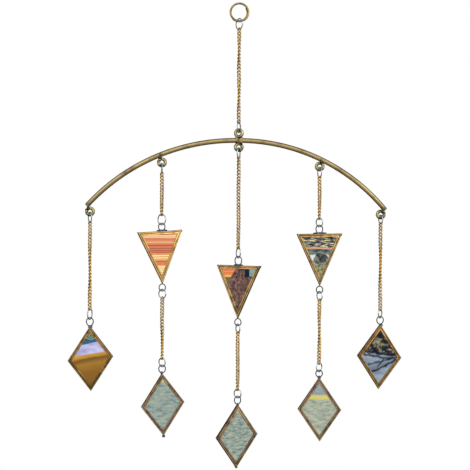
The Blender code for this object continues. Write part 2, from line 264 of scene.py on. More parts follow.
def newMaterial(name):
    material = bpy.data.materials.new(name)
    material.use_nodes = True
    return material, material.node_tree, material.node_tree.nodes["Principled BSDF"]


# Dull and stain begin where their noise passes these numbers less their amount, over these widths.
# The grain is finer noise that unevens the roughness and, with the clouds, lifts the surface
tarnish = {
    "dullFrom": 0.72, "dullSoft": 0.16, "stainFrom": 0.75, "stainSoft": 0.1,
    "grain": 2600.0, "grainRoughness": 0.04, "cloudHeight": 0.6,
}
agedColours = ["Clean", "Dull", "Stain"]
agedNumbers = ["Cloud Scale", "Dull Amount", "Stain Scale", "Stain Amount"]
agedNumbers += ["Polish", "Dullness", "Hollow"]


def agedMetalGroup():
    # Metal handled and left to tarnish: broad clouds of dull over clean metal, and small spots of stain,
    # then painted shade where the mesh marks it, in the stains' dark colour
    group = bpy.data.node_groups.new("agedMetal", "ShaderNodeTree")
    for way, names, kind in (
        ("INPUT", agedColours, "Color"), ("INPUT", agedNumbers, "Float"),
        ("OUTPUT", ["Color"], "Color"), ("OUTPUT", ["Roughness", "Height"], "Float"),
    ):
        for name in names:
            group.interface.new_socket(name, in_out=way, socket_type="NodeSocket" + kind)
    given = addNode(group, "NodeGroupInput").outputs
    result = addNode(group, "NodeGroupOutput")
    place = addNode(group, "ShaderNodeTexCoord").outputs["Object"]
    clouds = noise(place, given["Cloud Scale"], 4.0)
    spots = noise(place, given["Stain Scale"], 3.0, 0.6)
    grain = noise(place, tarnish["grain"], 2.0)
    dullStart = minus(tarnish["dullFrom"], given["Dull Amount"])
    dullMask = rescale(clouds, dullStart, plus(dullStart, tarnish["dullSoft"]))
    stainStart = minus(tarnish["stainFrom"], given["Stain Amount"])
    stainMask = rescale(spots, stainStart, plus(stainStart, tarnish["stainSoft"]))
    colour = blend(dullMask, given["Clean"], given["Dull"])
    colour = blend(stainMask, colour, given["Stain"])
    # Painted shade: the mesh's shade mask, patchy under the clouds, pulls the colour to the stains' dark
    # colour
    patchyShade = times(rescale(clouds, 0.35, 0.55, 0.6, 1.0), given["Hollow"])
    colour = blend(patchyShade, colour, given["Stain"])
    worn = maths("MAXIMUM", dullMask, stainMask)
    rough = rescale(worn, 0.0, 1.0, given["Polish"], given["Dullness"])
    grit = tarnish["grainRoughness"]
    rough = plus(rough, rescale(grain, 0.3, 0.7, -grit, grit))
    lift = {0: clouds, 1: tarnish["cloudHeight"], 2: grain}
    height = addNode(group, "ShaderNodeMath", lift, operation="MULTIPLY_ADD").outputs[0]
    setSockets(result, {"Color": colour, "Roughness": rough, "Height": height})
    return group


agedMetal = agedMetalGroup()


def metal(name, colours, clouds, stains, roughness, bump, hollow):
    # One brass, steel or solder: clean, dull and stain colours (the stain colour also paints its shade),
    # scale and amount of its clouds and of its stains, roughness clean and dull, unevenness in
    # millimetres and how dark its painted shade is
    material, tree, shader = newMaterial(name)
    # The mesh's painted shade mask, 0 to 1, scaled to how dark this metal's painted shade is
    depth = addNode(tree, "ShaderNodeAttribute", attribute_name="hollow").outputs["Fac"]
    depth = rescale(depth, 0.0, 1.0, 0.0, hollow)
    values = dict(zip(agedColours, [srgb(*colour) for colour in colours]))
    values.update(zip(agedNumbers, (*clouds, *stains, *roughness, depth)))
    aged = addNode(tree, "ShaderNodeGroup", values, node_tree=agedMetal).outputs
    relief = {"Height": aged["Height"], "Strength": 0.35, "Distance": bump * mm}
    surface = addNode(tree, "ShaderNodeBump", relief).outputs["Normal"]
    setSockets(shader, {"Base Color": aged["Color"], "Roughness": aged["Roughness"]})
    setSockets(shader, {"Normal": surface, "Metallic": 1.0})
    return material


ringBrass = metal(
    "ringBrass", colours=[(196, 168, 88), (148, 116, 54), (70, 50, 20)],
    clouds=(120, 0.24), stains=(420, 0.14), roughness=(0.26, 0.42), bump=0.03, hollow=0.8,
)
jumpRingSteel = metal(
    "jumpRingSteel", colours=[(222, 238, 236), (156, 174, 172), (38, 52, 56)],
    clouds=(260, 0.24), stains=(700, 0.16), roughness=(0.2, 0.36), bump=0.02, hollow=0.8,
)
chainBrass = metal(
    "chainBrass", colours=[(252, 214, 128), (214, 166, 86), (90, 64, 22)],
    clouds=(300, 0.24), stains=(800, 0.1), roughness=(0.28, 0.42), bump=0.02, hollow=0.9,
)
rodBrass = metal(
    "rodBrass", colours=[(206, 180, 124), (158, 134, 92), (84, 84, 70)],
    clouds=(60, 0.22), stains=(240, 0.1), roughness=(0.36, 0.48), bump=0.05, hollow=0.85,
)
eyeBrass = metal(
    "eyeBrass", colours=[(210, 198, 142), (152, 142, 98), (50, 56, 58)],
    clouds=(200, 0.24), stains=(420, 0.2), roughness=(0.28, 0.46), bump=0.06, hollow=0.9,
)
brazeCopper = metal(
    "brazeCopper", colours=[(194, 116, 66), (132, 78, 50), (46, 30, 34)],
    clouds=(500, 0.2), stains=(900, 0.2), roughness=(0.34, 0.55), bump=0.3, hollow=0.0,
)
scorchedBraze = metal(
    "scorchedBraze", colours=[(104, 78, 70), (54, 42, 48), (20, 16, 24)],
    clouds=(700, 0.3), stains=(900, 0.24), roughness=(0.36, 0.55), bump=0.3, hollow=0.0,
)
loopWire = metal(
    "loopWire", colours=[(106, 106, 88), (70, 68, 54), (22, 22, 20)],
    clouds=(260, 0.24), stains=(800, 0.16), roughness=(0.26, 0.44), bump=0.03, hollow=0.85,
)
solderBlue = metal(
    "solderBlue", colours=[(128, 142, 186), (76, 88, 138), (34, 38, 66)],
    clouds=(400, 0.26), stains=(1000, 0.2), roughness=(0.32, 0.5), bump=0.2, hollow=0.0,
)
triangleBrass = metal(
    "triangleBrass", colours=[(238, 192, 116), (200, 150, 86), (70, 46, 22)],
    clouds=(110, 0.2), stains=(420, 0.1), roughness=(0.32, 0.46), bump=0.05, hollow=1.0,
)
wornTriangleBrass = metal(
    "wornTriangleBrass", colours=[(230, 188, 120), (176, 142, 94), (54, 42, 28)],
    clouds=(130, 0.28), stains=(420, 0.14), roughness=(0.32, 0.48), bump=0.05, hollow=1.0,
)
goldBrass = metal(
    "goldBrass", colours=[(206, 162, 94), (146, 112, 66), (48, 36, 26)],
    clouds=(120, 0.28), stains=(420, 0.14), roughness=(0.3, 0.46), bump=0.05, hollow=1.0,
)
brownBrass = metal(
    "brownBrass", colours=[(194, 162, 124), (144, 118, 92), (48, 38, 30)],
    clouds=(120, 0.26), stains=(420, 0.14), roughness=(0.34, 0.5), bump=0.05, hollow=1.0,
)


def mirrorMaterials():
    # Silvered glass with faint age spots in front, and the grey backing paint behind
    silver, tree, shader = newMaterial("mirrorSilver")
    place = addNode(tree, "ShaderNodeTexCoord").outputs["Object"]
    spots = rescale(noise(place, 420.0, 3.0, 0.6), 0.68, 0.78)
    haze = rescale(noise(place, 90.0, 2.0), 0.35, 0.75, 0.002, 0.008)
    colour = blend(spots, (236, 240, 240), (168, 172, 170))
    setSockets(shader, {"Base Color": colour, "Roughness": haze, "Metallic": 1.0})
    paint, tree, shader = newMaterial("mirrorBacking")
    place = addNode(tree, "ShaderNodeTexCoord").outputs["Object"]
    streaks = noise(place, 160.0, 4.0)
    coat = colourRamp(streaks, [(0.3, (96, 92, 86)), (0.7, (128, 124, 116))])
    setSockets(shader, {"Base Color": coat, "Roughness": rescale(streaks, 0.3, 0.7, 0.5, 0.68)})
    return silver, paint


mirrorSilver, mirrorBacking = mirrorMaterials()

print("hanging ring")
hangingRing = {
    "outer": 18.6, "wire": 1.7, "growth": 0.2, "pitch": 1.95, "start": -136, "turn": 531,
    "spiral": 0.9, "endSize": 0.72, "steps": 161, "sides": 14,
}


def ringShape(size):
    # A coil: radius times the cosine and sine of the turn, with depth growing by one pitch a full turn,
    # while the radius closes in a little so that the lapped wires show one inside the other
    share = np.linspace(0, 1, size["steps"])
    turn = np.radians(size["start"] + size["turn"] * share)
    radius = 0.5 * (size["outer"] - size["wire"]) + size["spiral"] * (0.35 - share)
    depth = size["pitch"] * size["turn"] / 360 * (share - 0.5)
    centre = -(0.5 * size["outer"] - size["wire"])
    path = np.stack([radius * np.cos(turn), depth, centre + radius * np.sin(turn)], 1)
    edge = np.minimum(share, 1 - share) * len(share)
    swell = size["endSize"] + (1 - size["endSize"]) * np.sqrt(np.minimum(edge, 1.0))
    return tube(path, roundSection(size["wire"] + size["growth"], size["sides"]), False, swell)


addPiece("hangingRing", ringShape(hangingRing), [ringBrass], ["hanging_ring"])

print("jump rings and chains")
ringSizes = {
    "large": 11.2, "small": 9.5, "wire": 1.1, "sawCut": 0.22, "spring": 0.28, "steps": 49, "sides": 10,
}
link = {
    "wire": 1.38, "pitch": 3.08, "halfWidth": 1.34, "halfHeight": 2.015, "crook": 0.875,
    "unevenTurn": 4, "swing": 0.12, "steps": 10, "sides": 5,
}

# For each run: sizes of its two jump rings, links, turn of the first and last link and of the two
# rings, where the rings' saw cuts stand, and the extra turn that some end links take up
runs = {
    "top": {
        "rings": ("large", "large"), "links": 29, "twist": (0, 370),
        "turns": (-55, 71), "cuts": (0, 160),
    },
    "far_left": {
        "rings": ("large", "large"), "links": 27, "twist": (-5, 185),
        "turns": (-67, 71), "cuts": (150, 20),
    },
    "far_right": {
        "rings": ("small", "small"), "links": 27, "twist": (-15, 185),
        "turns": (-75, 58), "cuts": (170, 0),
    },
    "left_upper": {
        "rings": ("large", "large"), "links": 13, "twist": (-15, 75),
        "turns": (-85, -42), "cuts": (30, 190),
    },
    "left_lower": {
        "rings": ("small", "small"), "links": 19, "twist": (-121, -300),
        "turns": (-36, -44), "cuts": (170, 150), "extra": (-36, 20),
    },
    "centre_upper": {
        "rings": ("large", "large"), "links": 28, "twist": (-55, 58),
        "turns": (73, -70), "cuts": (10, 165),
    },
    "centre_lower": {
        "rings": ("small", "small"), "links": 18, "twist": (20, 45),
        "turns": (-65, -42), "cuts": (190, 170), "extra": (-28, 32),
    },
    "right_upper": {
        "rings": ("large", "small"), "links": 13, "twist": (-15, 75),
        "turns": (-75, -50), "cuts": (165, 5),
    },
    "right_lower": {
        "rings": ("small", "small"), "links": 20, "twist": (0, 180),
        "turns": (-60, 47), "cuts": (0, -8),
    },
}


def jumpRing(node, size, turn, cut):
    # An almost full circle from one side of the saw cut to the other, its two ends sprung apart in depth
    outer = ringSizes[size]
    radius = 0.5 * (outer - ringSizes["wire"])
    halfCut = math.degrees(0.5 * ringSizes["sawCut"] / radius)
    steps = ringSizes["steps"]
    angle = np.radians(np.linspace(cut + halfCut, cut + 360 - halfCut, steps))
    spring = ringSizes["spring"] * np.linspace(-0.5, 0.5, steps) ** 3 * 4
    path = np.stack([radius * np.cos(angle), spring, radius * np.sin(angle)], 1)
    shape = tube(path, roundSection(ringSizes["wire"], ringSizes["sides"]), False)
    centre = middle(node)
    shape = turned(shape, 0, turn, centre.x, centre.z)
    addPiece(camel(node), shape, [jumpRingSteel], [node])


def chainShape(run, x, top):
    # One link is a bent oval: x = half width * cos t, z = half height * sin t, depth = crook * sin 2t.
    # Each next link hangs one pitch lower and stands turned a little further about the upright
    t = 2 * math.pi * (np.arange(link["steps"]) + 0.5) / link["steps"]
    across, deep, tall = link["halfWidth"], link["crook"], link["halfHeight"]
    oval = np.stack([across * np.cos(t), deep * np.sin(2 * t), tall * np.sin(t)], 1)
    points, faces, hollow = tube(oval, roundSection(link["wire"], link["sides"]), True)
    count = run["links"]
    number = np.arange(count)
    turn = np.interp(number, [0, count - 1], run["twist"]) + link["unevenTurn"] * wave(count, x)
    nearTop, nearLow = np.clip(1 - number / 3, 0, 1), np.clip(1 - number[::-1] / 3, 0, 1)
    atTop, atLow = run.get("extra", (0, 0))
    turn = turn + atTop * nearTop + atLow * nearLow
    turn = np.radians(turn)[:, None]
    swing = link["swing"] * wave(count, 2 * x)[:, None]
    placed = np.empty((count, len(points), 3))
    placed[:, :, 0] = points[:, 0] * np.cos(turn) - points[:, 1] * np.sin(turn) + x + swing
    placed[:, :, 1] = points[:, 0] * np.sin(turn) + points[:, 1] * np.cos(turn)
    placed[:, :, 2] = points[:, 2] + (top - link["pitch"] * (number + 0.5))[:, None]
    faces = np.array(faces)[None] + (number * len(points))[:, None, None]
    return placed.reshape(-1, 3), faces.reshape(-1, 4).tolist(), np.tile(hollow, count)


def innerRadius(size):
    return 0.5 * ringSizes[size] - ringSizes["wire"]


for name, run in runs.items():
    nodes = name + "_chain_top_ring", name + "_chain_bottom_ring"
    for node, size, turn, cut in zip(nodes, run["rings"], run["turns"], run["cuts"]):
        jumpRing(node, size, turn, cut)
    ring = middle(nodes[0])
    top = ring.z - innerRadius(run["rings"][0]) + gaps["touching"]
    chain = chainShape(run, ring.x, top)
    addPiece(camel(name + "_chain"), chain, [chainBrass], [name + "_chain"], sharp=80)

print("arched rod and its eyes")
rod = {
    "diameter": 4.75, "middle": 3.6, "shift": -1.2, "leftRadius": 189.6, "leftAngle": 47.9,
    "rightRadius": 181.1, "rightAngle": 50.3, "topEyeSeat": 6.8, "centreEyeSeat": 6.3, "endEdge": 0.35,
    "tipShade": 2.2, "leftShade": 0.55, "leftShadeSteps": 34, "steps": 90, "sides": 24,
}
eye = {
    "outer": 9.45, "wire": 3.1, "lapShift": 0.2, "lapRise": 0.9, "lapGap": 0.3, "lapSize": 0.62,
    "start": 122, "sweep": 330, "steps": 44, "sides": 14,
}


def arcPoint(side, angle, inset=0.0):
    # A point of the bend: sideways by the angle's sine and up by its cosine, on the radius less the inset
    radius, sign = (rod["leftRadius"], -1) if side == "left" else (rod["rightRadius"], 1)
    turn = np.radians(angle)
    x = rod["shift"] + sign * (0.5 * rod["middle"] + (radius - inset) * np.sin(turn))
    return x, (radius - inset) * np.cos(turn) - radius


holeRadius = 0.5 * eye["outer"] - eye["wire"]
ringLow = middle("top_chain_bottom_ring").z - innerRadius("large")
rodTop = ringLow + gaps["crossing"] - holeRadius - rod["topEyeSeat"]


def rodShape():
    # The right bend walked up to the middle and the left bend walked down, as one row of points,
    # with a short last step drawn in at each end for its broken edge
    share = np.linspace(1, 0, rod["steps"])
    rightX, rightZ = arcPoint("right", rod["rightAngle"] * share)
    leftX, leftZ = arcPoint("left", rod["leftAngle"] * share[::-1])
    x, z = np.concatenate([rightX, leftX]), np.concatenate([rightZ, leftZ]) + rodTop
    path = np.stack([x, np.zeros(len(x)), z], 1)
    first, last = path[0], path[-1]
    edge = rod["endEdge"] / np.linalg.norm(path[1] - first)
    path = np.insert(path, 1, first + (path[1] - first) * edge, 0)
    path = np.insert(path, len(path) - 1, last + (path[-2] - last) * edge, 0)
    swell = np.ones(len(path))
    swell[[0, -1]] = 1 - 2 * rod["endEdge"] / rod["diameter"]
    section = roundSection(rod["diameter"], rod["sides"])
    points, faces, _ = tube(path, section, False, swell)
    # Painted shade: dark along the top, at both tips and, more faintly, over the left end
    upper = np.clip(-2.4 * section[:, 0] / rod["diameter"] - 0.2, 0, 1)
    fromRight, fromLeft = np.arange(len(path)), np.arange(len(path))[::-1]
    tip = np.clip(rod["tipShade"] - np.minimum(fromRight, fromLeft) / 2, 0, 1)
    tip = np.maximum(tip, rod["leftShade"] * np.clip(1 - fromLeft / rod["leftShadeSteps"], 0, 1))
    return points, faces, np.maximum(upper[None], tip[:, None]).ravel()


def contactShadowed(shape, turn, where):
    # Painted contact shadow: the wire darkens towards where its jump ring touches it, one there, and
    # none a fifth of a turn away
    points, faces, hollow = shape
    off = np.abs((np.degrees(turn) - where + 180) % 360 - 180)
    contactShadow = np.repeat(np.clip(1.4 - off / 45, 0, 1), len(points) // len(turn))
    return points, faces, np.maximum(hollow, contactShadow)


def closedEye(x, z, where):
    # A full ring of thick wire: radius times the cosine and sine of the turn
    turn = np.linspace(0, 2 * math.pi, 40, endpoint=False)
    radius = 0.5 * (eye["outer"] - eye["wire"])
    path = np.stack([x + radius * np.cos(turn), 0 * turn, z + radius * np.sin(turn)], 1)
    return contactShadowed(tube(path, roundSection(eye["wire"], eye["sides"]), True), turn, where)


def strand(corners, width, bulge):
    # A short wire through the corners, smoothed by a cosine blend, thickest in its middle
    share = np.linspace(0, len(corners) - 1, 24)
    whole = np.minimum(share.astype(int), len(corners) - 2)
    part = (1 - np.cos((share - whole) * math.pi)) / 2
    corners = np.array(corners)
    eased = corners[whole] * (1 - part)[:, None] + corners[whole + 1] * part[:, None]
    straight = np.stack([np.interp(share, np.arange(len(corners)), line) for line in corners.T], 1)
    path = straight * 0.5 + eased * 0.5
    swell = 1 + bulge * np.sin(np.linspace(0, math.pi, 24))
    swell[[0, -1]] *= 0.55
    return tube(path, roundSection(width, 10), False, swell)


def middleJoint():
    # The two wire ends that cross over the front of the rod
    front = -0.5 * rod["diameter"]
    base = np.array([0, front, rodTop])
    falling = base + np.array([(-3.4, 1.5, 3.2), (-0.6, -0.4, 0.6), (3.0, 1.0, -2.0)])
    rising = base + np.array([(-2.8, 1.0, -2.2), (0.4, -0.9, 0.3), (3.6, 1.4, 2.8)])
    return joined([strand(falling, 1.9, 0.1), strand(rising, 1.8, 0.1)])


addPiece("archedRod", rodShape(), [rodBrass], ["arched_rod"])
# Painted contact shadow at the top of the upper eye and at the bottom of the lower, where rings hang
upperEye = closedEye(0, rodTop + rod["topEyeSeat"], 90)
lowerEye = closedEye(0, rodTop - rod["centreEyeSeat"], 270)
eyesAtMiddle = joined([upperEye, lowerEye, middleJoint()])
addPiece("middleEyes", eyesAtMiddle, [eyeBrass])
copper = lump((0.4, -2.9, rodTop - 1.7), (1.1, 0.9, 1.1), 0.16, 1.0)
addPiece("middleBraze", copper, [brazeCopper])
scorched = joined([
    lump((-0.2, 0.0, rodTop + 2.5), (2.6, 1.9, 0.9), 0.1, 2.4),
    lump((0.1, -0.2, rodTop - 2.4), (2.9, 1.9, 0.9), 0.1, 4.1),
    lump((-2.0, -2.0, rodTop - 1.7), (1.2, 1.0, 1.3), 0.16, 3.3),
    lump((2.3, -1.7, rodTop - 3.2), (1.2, 1.2, 1.3), 0.16, 5.2),
    lump((0.5, -2.4, rodTop + 0.9), (1.0, 0.8, 0.6), 0.16, 0.4),
])
addPiece("middleScorch", scorched, [scorchedBraze])

# Eyes under the rod: where they stand, their seat, and which side of the eye laps up over the rod
eyes = {
    "far_left_eye": {"side": "left", "angle": 48.5, "seat": 5.9, "lap": -1},
    "left_eye": {"side": "left", "angle": 22.5, "seat": 7.3, "lap": -1},
    "right_eye": {"side": "right", "angle": 26.0, "seat": 6.6, "lap": 1},
    "far_right_eye": {"side": "right", "angle": 50.5, "seat": 6.0, "lap": 1},
}


def lappedEye(x, z, seat, lap):
    # The wire comes down the rod's front, runs round the eye on a circle and ends under the rod
    radius = 0.5 * (eye["outer"] - eye["wire"])
    turn = np.radians(np.linspace(eye["start"], eye["start"] + eye["sweep"], eye["steps"]))
    circle = np.stack([radius * np.cos(turn), 0 * turn, radius * np.sin(turn)], 1)
    front = -0.5 * rod["diameter"] - eye["lapGap"]
    rise = np.linspace(1, 0, 9)[:-1, None]
    start = circle[0]
    top = np.array([start[0] + eye["lapShift"], front, seat + eye["lapRise"]])
    easing = (1 - np.cos(rise * math.pi)) / 2
    tongue = start * (1 - rise) + top * rise
    tongue[:, 1] = (easing * front).ravel()
    path = np.vstack([tongue, circle])
    path[:, 0] *= -lap
    swell = np.ones(len(path))
    swell[:8] = np.linspace(eye["lapSize"], 1, 8)
    if lap > 0:
        path, swell = path[::-1], swell[::-1]
    # Painted contact shadow towards the bottom of the eye, where its ring hangs; none on the tongue
    along = np.degrees(np.arctan2(path[:, 2], path[:, 0]))
    along[np.abs(path[:, 1]) > 0.01] = 90
    shape = tube(path, roundSection(eye["wire"], eye["sides"]), False, swell)
    return turned(contactShadowed(shape, np.radians(along), 270), 0, 0, x, z)


for node, data in eyes.items():
    x, z = arcPoint(data["side"], data["angle"], data["seat"])
    shape = lappedEye(x, z + rodTop, data["seat"], data["lap"])
    addPiece(camel(node), shape, [eyeBrass], [node])
    seatX, seatZ = arcPoint(data["side"], data["angle"], 3.0)
    blob = lump((seatX, -0.6, seatZ + rodTop), (2.2, 1.8, 0.9), 0.15, x)
    addPiece(camel(node) + "Solder", blob, [scorchedBraze])

print("loops, frames and mirrors")
loop = {"outer": 7.2, "wire": 1.05, "neckAngle": 55, "sunk": 0.2, "steps": 48, "sides": 10}
channel = {"face": 3.2, "wall": 0.6, "edge": 0.35, "halfDepth": 2.4, "halfGroove": 1.8, "ridge": 0.22}
pane = {"inset": 0.9, "halfThickness": 1.5, "bevel": 0.15}

# Pendants, in the same terms as the solids, with the run that each hangs from and its frame's brass
pendants = {
    "far_left_diamond": {
        "run": "far_left", "width": 42.9, "height": 61.6, "rise": 3.0,
        "reach": 4.9, "lean": 1.1, "yaw": 2.0, "brass": goldBrass,
        "solder": [((0.6, -1.2, -0.6), (2.2, 1.5, 1.4))],
    },
    "far_right_diamond": {
        "run": "far_right", "width": 42.9, "height": 61.6, "rise": -1.4,
        "reach": 4.6, "lean": -1.4, "yaw": 6.0, "brass": goldBrass,
        "solder": [((0.9, -0.8, -0.8), (1.6, 1.6, 1.2))],
    },
    "left_diamond": {
        "run": "left_lower", "width": 41.4, "height": 59.5, "rise": 3.2,
        "reach": 4.6, "lean": 1.3, "yaw": 10.0, "brass": brownBrass,
        "solder": [((-0.4, -0.6, 0.3), (1.3, 1.3, 1.5)), ((0.2, -0.4, -59.9), (1.5, 1.6, 1.3))],
    },
    "centre_diamond": {
        "run": "centre_lower", "width": 41.7, "height": 59.9, "rise": 3.0,
        "reach": 4.8, "lean": -1.6, "yaw": 20.0, "brass": brownBrass,
        "solder": [((0.0, -0.6, 0.2), (1.2, 1.3, 1.4)), ((0.1, -0.6, -59.0), (1.4, 1.8, 1.6))],
    },
    "right_diamond": {
        "run": "right_lower", "width": 41.4, "height": 61.1, "rise": -1.0,
        "reach": 3.9, "lean": 0.6, "yaw": -3.0, "brass": brownBrass,
        "solder": [((0.1, -0.8, 0.1), (1.7, 1.5, 1.6))],
    },
    "left_triangle": {
        "run": "left_upper", "width": 43.2, "height": 49.8, "shift": 2.1, "reach": 4.4, "tipReach": 4.0,
        "lean": 3.2, "yaw": 16.0, "brass": triangleBrass,
        "solder": [((0.3, 0.0, 0.5), (5.2, 1.7, 1.0)), ((18.4, 0.0, -0.9), (1.5, 2.5, 1.3))],
    },
    "centre_triangle": {
        "run": "centre_upper", "width": 43.0, "height": 50.3, "shift": -0.6, "reach": 5.5, "tipReach": 4.0,
        "lean": -0.9, "yaw": -18.0, "brass": wornTriangleBrass,
        "solder": [((0.0, 0.0, 0.45), (4.4, 1.7, 0.9)), ((20.9, 0.0, -0.9), (1.6, 2.5, 1.2))],
    },
    "right_triangle": {
        "run": "right_upper", "width": 43.5, "height": 49.7, "shift": 0.1, "reach": 5.0, "tipReach": 3.9,
        "lean": 0.7, "yaw": 3.0, "brass": wornTriangleBrass,
        "solder": [((1.0, 0.0, 0.5), (6.6, 1.7, 1.0))],
        "gilt": [((19.9, -1.2, -1.2), (1.9, 1.6, 1.3))],
    },
}


def outlineOf(data):
    # Anticlockwise corners (x, z): a diamond under its top corner, or a triangle under its loop
    width, height = data["width"], data["height"]
    if "shift" in data:
        tip = -data["shift"]
        return np.array([(tip - width / 2, 0), (tip, -height), (tip + width / 2, 0)])
    low, high = -height / 2 - data["rise"] / 2, -height / 2 + data["rise"] / 2
    return np.array([(0, 0), (-width / 2, low), (0, -height), (width / 2, high)])


def loopShape(reach):
    # Distance from the centre = radius + (neck - radius) * exp(-(angle off the neck / its angle) squared)
    radius = 0.5 * (loop["outer"] - loop["wire"])
    neck = max(reach - 0.5 * loop["wire"] + loop["sunk"], radius)
    turn = np.linspace(-math.pi, math.pi, loop["steps"], endpoint=False)
    distance = radius + (neck - radius) * np.exp(-((np.degrees(turn) / loop["neckAngle"]) ** 2))
    path = np.stack([distance * np.sin(turn), 0 * turn, -distance * np.cos(turn)], 1)
    return tube(path, roundSection(loop["wire"], loop["sides"]), True)


def inwardOf(corners):
    # For each corner, the step that moves it inwards by one along both of its sides at once
    ahead = np.roll(corners, -1, 0) - corners
    ahead = ahead / np.linalg.norm(ahead, axis=1, keepdims=True)
    behind = np.roll(ahead, 1, 0)
    along = ahead + behind
    along = along / np.linalg.norm(along, axis=1, keepdims=True)
    left = np.stack([-along[:, 1], along[:, 0]], 1)
    return left / (along * ahead).sum(1, keepdims=True)


def channelSection():
    # Half of the profile (inward, depth), from the outer wall over a groove to the lip, and its mirror
    face, wall, edge = channel["face"], channel["wall"], channel["edge"]
    depth, groove, ridge = channel["halfDepth"], channel["halfGroove"], channel["ridge"]
    front = [
        (0, -depth + 2 * edge), (0.3 * edge, -depth + 0.6 * edge), (edge, -depth),
        (0.18 * face, -depth), (0.38 * face, -depth), (0.42 * face, -depth + 0.8 * ridge),
        (0.5 * face, -depth + ridge), (0.58 * face, -depth + 0.8 * ridge), (0.62 * face, -depth + 0.1),
        (0.88 * face, -depth + 0.1), (face - 0.6 * edge, -depth + 0.12),
        (face, -depth + 0.1 + edge), (face, -groove), (wall, -groove),
    ]
    return np.array(front + [(inward, -across) for inward, across in front[::-1]])


def frameShape(data):
    # Corner points moved inwards by the profile's first number and in depth by its second, with painted
    # shade in the groove, at the outer edge and at the lip
    corners = outlineOf(data)
    inward = inwardOf(corners)
    section = channelSection()
    flat = corners[:, None] + inward[:, None] * section[None, :, :1]
    depth = np.broadcast_to(section[None, :, 1], flat.shape[:2])
    points = np.stack([flat[:, :, 0], depth, flat[:, :, 1]], -1)
    share = section[:, 0] / channel["face"]
    # Painted shade: a dark line in the groove, along the outer edge and along the lip
    hollow = np.clip(3 - np.abs(share - 0.5) / 0.04, 0, 1)
    hollow = np.maximum(hollow, np.clip(1.6 - share / 0.11, 0, 1) * np.where(share > 0.01, 0.85, 0.2))
    hollow = np.maximum(hollow, np.clip((share - 0.9) / 0.05, 0, 1) * 0.7)
    faces = gridFaces(len(corners), len(section), True, True).tolist()
    return points.reshape(-1, 3), faces, np.tile(hollow, len(corners))


def paneShape(data):
    # Rings of the outline drawn in step by step: full size at the back and front, then to the middle,
    # with the front edge broken by a small bevel
    corners = outlineOf(data)
    corners = corners + inwardOf(corners) * pane["inset"]
    centre = corners.mean(0)
    half = pane["halfThickness"]
    rings = [(1.0, half), (1.0, -half + pane["bevel"]), (0.992, -half), (0.6, -half), (0.25, -half)]
    rows = [np.insert(centre + (corners - centre) * size, 1, depth, 1) for size, depth in rings]
    count = len(corners)
    points = np.vstack(rows + [[centre[0], -half, centre[1]], [centre[0], half, centre[1]]])
    faces = gridFaces(len(rings), count, False, True).tolist()
    front, back, last = len(points) - 2, len(points) - 1, (len(rings) - 1) * count
    faces += [[front, last + k, last + (k + 1) % count] for k in range(count)]
    faces += [[back, (k + 1) % count, k] for k in range(count)]
    kinds = [0] * (len(faces) - count) + [1] * count
    return (points, faces, np.zeros(len(points))), kinds


for name, data in pendants.items():
    run = runs[data["run"]]
    ring = middle(data["run"] + "_chain_bottom_ring")
    x, yaw, lean = ring.x, data["yaw"], data["lean"]
    loopZ = ring.z - innerRadius(run["rings"][1]) + gaps["crossing"] - 0.5 * loop["outer"] + loop["wire"]
    data["x"], data["z"] = x, loopZ - data["reach"]
    isTriangle = "shift" in data
    topLoop = turned(loopShape(data["reach"]), 0, yaw, x, loopZ)
    addPiece(camel(name + "_top_loop"), topLoop, [loopWire], [name + "_top_loop"])
    frameShell = turned(frameShape(data), lean, yaw, x, data["z"])
    addPiece(camel(name + "_frame"), frameShell, [data["brass"]], [name + "_frame"], sharp=35)
    shape, kinds = paneShape(data)
    glass = [mirrorSilver, mirrorBacking]
    shape = turned(shape, lean, yaw, x, data["z"])
    mirror = name + "_mirror"
    addPiece(camel(mirror), shape, glass, [mirror], smooth=False, faceMaterials=kinds)
    blobs = joined([lump(at, size, 0.12, x) for at, size in data["solder"]])
    addPiece(camel(name + "_solder"), turned(blobs, lean, yaw, x, data["z"]), [solderBlue])
    if "gilt" in data:
        blobs = joined([lump(at, size, 0.08, x) for at, size in data["gilt"]])
        blobs = turned(blobs, lean, yaw, x, data["z"])
        addPiece(camel(name + "_gilt_corner"), blobs, [data["brass"]])
    if isTriangle:
        tip = np.array([[-data["shift"], 0, -data["height"]]])
        tip = turned((tip, []), lean, yaw, x, data["z"])[0][0]
        lowLoop = turned(loopShape(data["tipReach"]), 180, yaw, tip[0], tip[2] - data["tipReach"])
        node = name + "_bottom_loop"
        addPiece(camel(node), lowLoop, [loopWire], [node])

print("camera, light and floor")
view = {
    "x": -31.7, "distance": 1000, "z": -200.45,
    "pitch": 1.03, "yaw": 1.63, "roll": 0.22, "focal": 1052.9, "pixels": 470,
}

cameraData = bpy.data.cameras.new("camera")
cameraData.sensor_width = 36
cameraData.lens = view["focal"] / view["pixels"] * cameraData.sensor_width
cameraData.dof.use_dof = False
camera = addObject("camera", cameraData)
camera.matrix_world = (
    Matrix.Translation(Vector((view["x"], -view["distance"], view["z"])) * mm)
    @ Matrix.Rotation(math.radians(-view["yaw"]), 4, "Z")
    @ Matrix.Rotation(math.radians(90 - view["pitch"]), 4, "X")
    @ Matrix.Rotation(math.radians(view["roll"]), 4, "Z")
)
bpy.context.scene.camera = camera
bpy.context.scene.view_settings.view_transform = "Standard"


def grey(level):
    # A linear grey, as a light's own strength is given
    return level, level, level, 1


